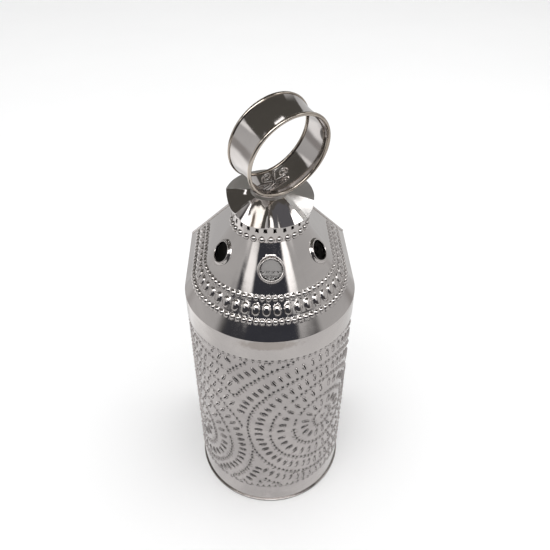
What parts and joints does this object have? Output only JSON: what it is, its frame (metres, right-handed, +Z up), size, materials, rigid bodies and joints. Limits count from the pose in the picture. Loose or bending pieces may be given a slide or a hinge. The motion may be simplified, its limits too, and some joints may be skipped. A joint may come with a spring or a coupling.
{
  "type": "candle lantern",
  "caption": "Pierced tin candle lantern with a half-round front, flat back with hinged door, vented conical roof, ruffled crown and ring handle.",
  "frame": {"origin": "on the floor face, on the axis of the half-round front", "axes": "+Z up; the half-round front faces -Y; the flat back and its door face +Y; +X is to the right seen from the front"},
  "size_m": [0.1402, 0.152, 0.3799],
  "materials": {
    "tin": "bright tinned sheet, lightly smudged",
    "bright_tin": "mirror-bright tinned sheet with fine scratches",
    "tinned_wire": "bright tinned wire",
    "steel_fastener": "plain steel rivets and pins",
    "wax": "ivory candle wax",
    "wick": "braided cotton, charred at the tip"
  },
  "bodies": {
    "lantern": {"body_sheet": "tin", "base_rim_wire": "tinned_wire", "base_pan": "tin", "eaves_band": "bright_tin", "roof_sheet": "bright_tin", "roof_back_panel": "bright_tin", "gallery_collar": "bright_tin", "ruffle_crown": "bright_tin", "back_frame": "tin", "hinge_frame_leaves": "tin", "hinge_pins": "steel_fastener", "hinge_frame_rivets": "steel_fastener", "latch_rivet": "steel_fastener", "candle_socket": "tin", "drip_pan": "tin"},
    "door": {"door_panel": "tin", "hinge_door_leaves": "tin", "hinge_door_rivets": "steel_fastener", "door_pull": "tin"},
    "latch": {"latch_turn_button": "tin"},
    "staple": {"handle_staple": "tinned_wire"},
    "lock_wire": {"locking_scroll_wire": "tinned_wire"},
    "handle": {"handle_strap": "bright_tin", "handle_edge_wires": "tinned_wire"},
    "candle": {"candle": "wax", "wick": "wick"}
  },
  "joints": [
    {"name": "door_swing", "type": "hinge", "parent": "lantern", "child": "door", "pos_m": [0.0495, 0.0744, 0.099], "axis": [0, 0, -1], "range_deg": [0, 165]},
    {"name": "latch_turn", "type": "hinge", "parent": "lantern", "child": "latch", "pos_m": [-0.054, 0.0738, 0.099], "axis": [0, 1, 0], "range_deg": [0, 90]},
    {"name": "handle_swivel", "type": "hinge", "parent": "lantern", "child": "staple", "pos_m": [0.00291, -0.00072, 0.305], "axis": [0, 0, 1], "continuous": true},
    {"name": "handle_lift", "type": "slide", "parent": "staple", "child": "lock_wire", "axis": [0, 0, 1], "range_m": [0, 0.007]},
    {"name": "handle_rock", "type": "hinge", "parent": "lock_wire", "child": "handle", "pos_m": [0.00291, -0.00072, 0.31423], "axis": [-0.8358, -0.549, 0], "range_deg": [-12, 38]},
    {"name": "candle_lift", "type": "slide", "parent": "lantern", "child": "candle", "axis": [0, 0, 1], "range_m": [0, 0.03]}
  ]
}
